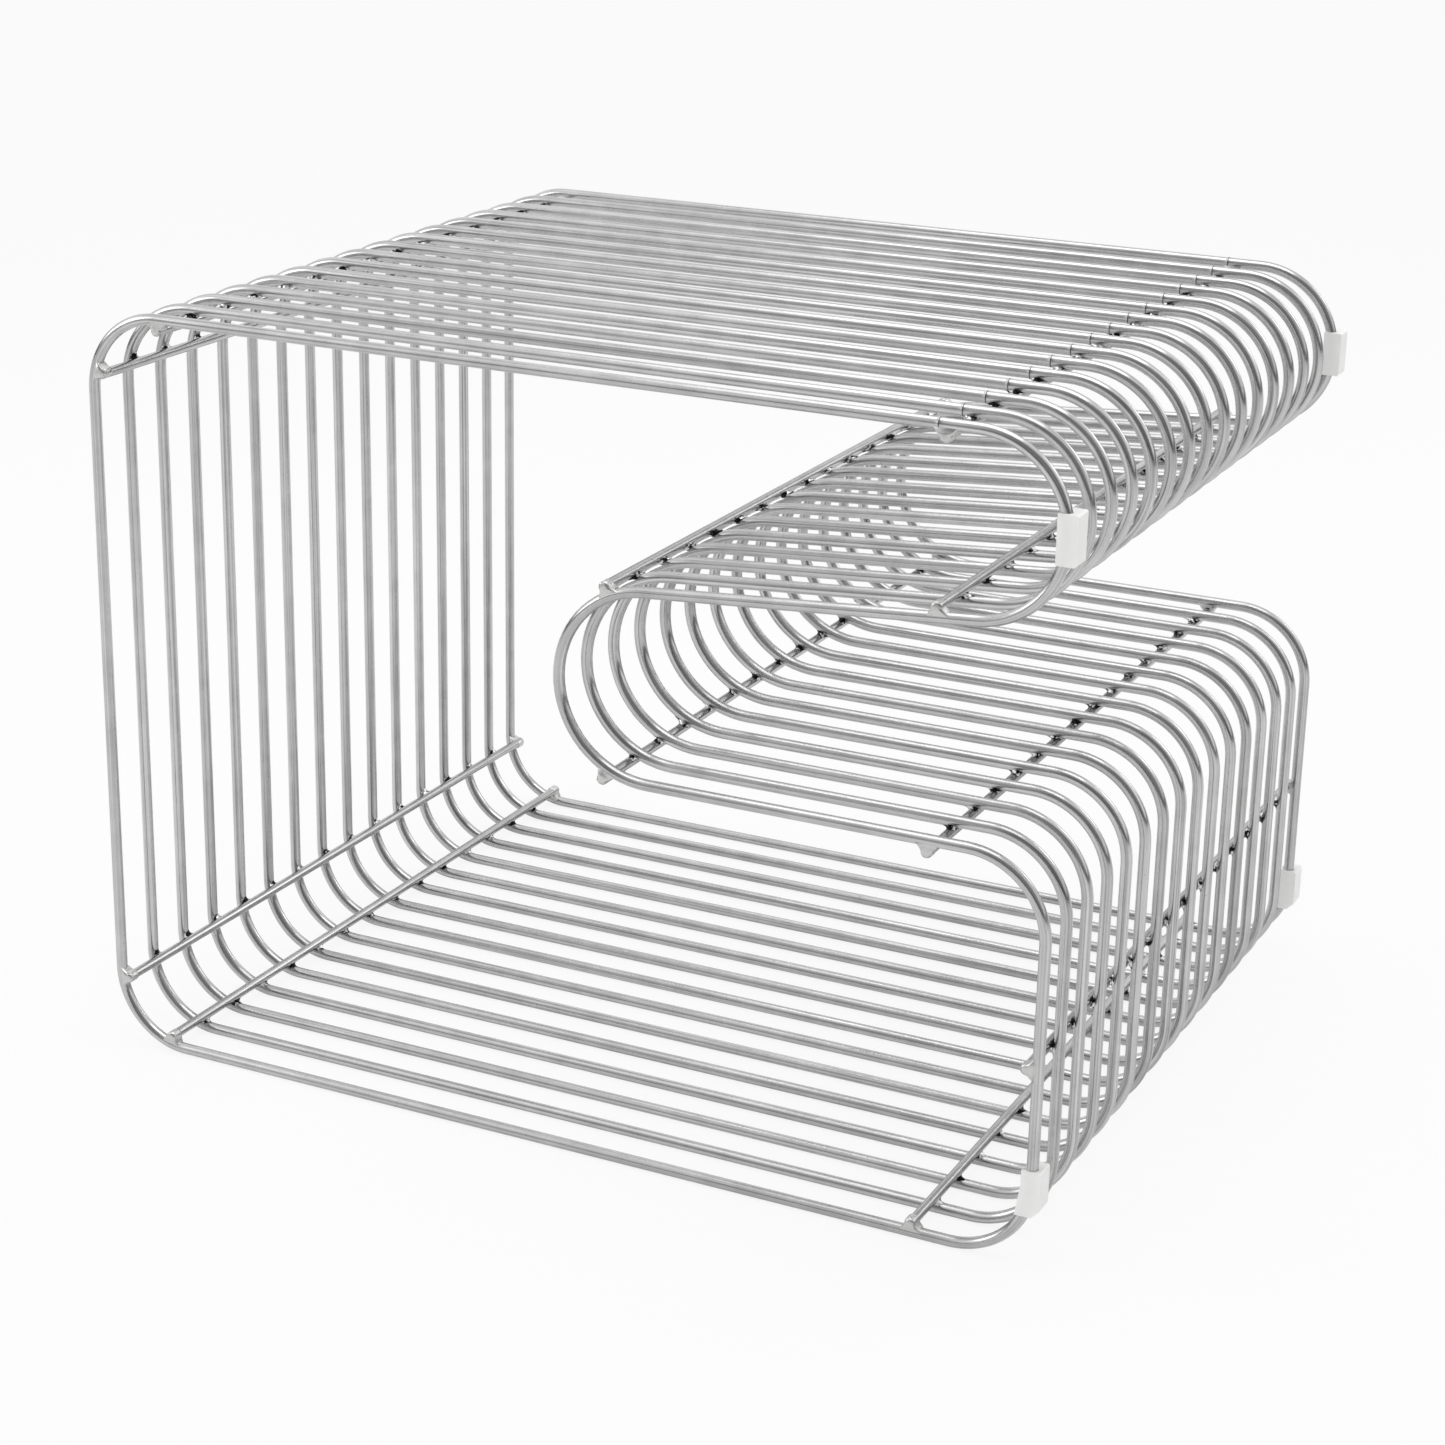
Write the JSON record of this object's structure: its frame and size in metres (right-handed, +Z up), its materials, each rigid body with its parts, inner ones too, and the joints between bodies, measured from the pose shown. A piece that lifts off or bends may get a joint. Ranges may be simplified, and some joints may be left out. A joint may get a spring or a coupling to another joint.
{
  "type": "wire side table",
  "caption": "Wire side table: closed loops of round steel bar bent to one folded profile and welded on cross rods, with an open side slot and clip-on corner pads.",
  "frame": {"origin": "on the floor, under the middle of the whole object's box", "axes": "+X to the right, the side where the slot opens and the pads stand out; +Y along the depth, from the front loop to the back loop; +Z up"},
  "size_m": [0.7365, 0.6026, 0.562],
  "materials": {
    "loop_bar": "satin drawn stainless bar, grain along the bar",
    "cross_rod": "satin drawn stainless rod, a little darker, with welds at each crossing",
    "pad": "milky white clip-on plastic, softly see-through"
  },
  "bodies": {
    "root": {"loop_01": "loop_bar", "loop_02": "loop_bar", "loop_03": "loop_bar", "loop_04": "loop_bar", "loop_05": "loop_bar", "loop_06": "loop_bar", "loop_07": "loop_bar", "loop_08": "loop_bar", "loop_09": "loop_bar", "loop_10": "loop_bar", "loop_11": "loop_bar", "loop_12": "loop_bar", "loop_13": "loop_bar", "loop_14": "loop_bar", "loop_15": "loop_bar", "loop_16": "loop_bar", "side_rod_upper": "cross_rod", "top_rod_left": "cross_rod", "top_rod_right": "cross_rod", "slope_rod_right": "cross_rod", "slope_rod_left": "cross_rod", "shelf_rod_left": "cross_rod", "shelf_rod_right": "cross_rod", "end_rod": "cross_rod", "base_rod_right": "cross_rod", "base_rod_left": "cross_rod", "side_rod_lower": "cross_rod", "upper_pad_front": "pad", "upper_pad_back": "pad", "lower_pad_front": "pad", "lower_pad_back": "pad"}
  },
  "joints": []
}
